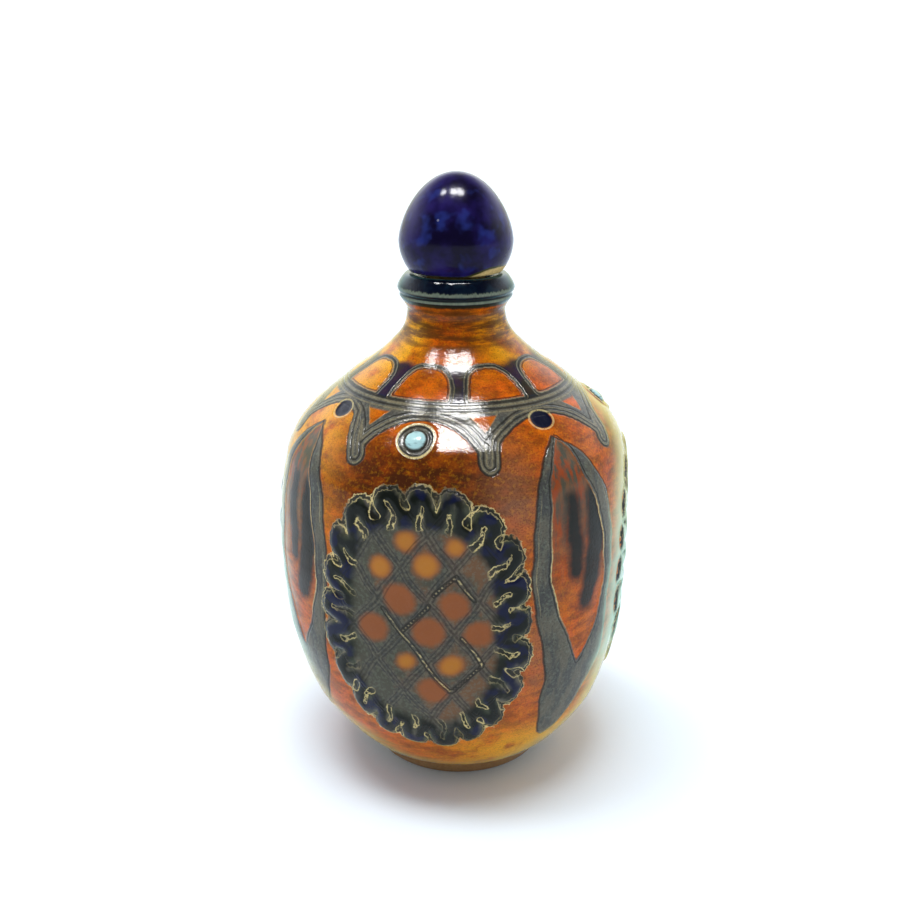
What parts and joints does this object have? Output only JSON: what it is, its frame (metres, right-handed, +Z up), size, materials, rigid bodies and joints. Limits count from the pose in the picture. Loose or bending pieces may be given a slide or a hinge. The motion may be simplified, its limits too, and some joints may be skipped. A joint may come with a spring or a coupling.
{
  "type": "pottery flask",
  "caption": "Thrown stoneware flask with rounded body, narrow ringed neck, carved slip ornament and a loose egg-shaped glazed stopper.",
  "frame": {"origin": "centre of the foot ring, on the surface the flask stands on", "axes": "+Z up along the flask's axis; -Y looks out of the side that the picture shows"},
  "size_m": [0.0983, 0.0976, 0.165],
  "materials": {
    "flask_glaze": "gloss, orange-peel texture",
    "stopper_glaze": "gloss"
  },
  "bodies": {
    "root": {"flask": "flask_glaze", "stopper": "stopper_glaze"}
  },
  "joints": []
}
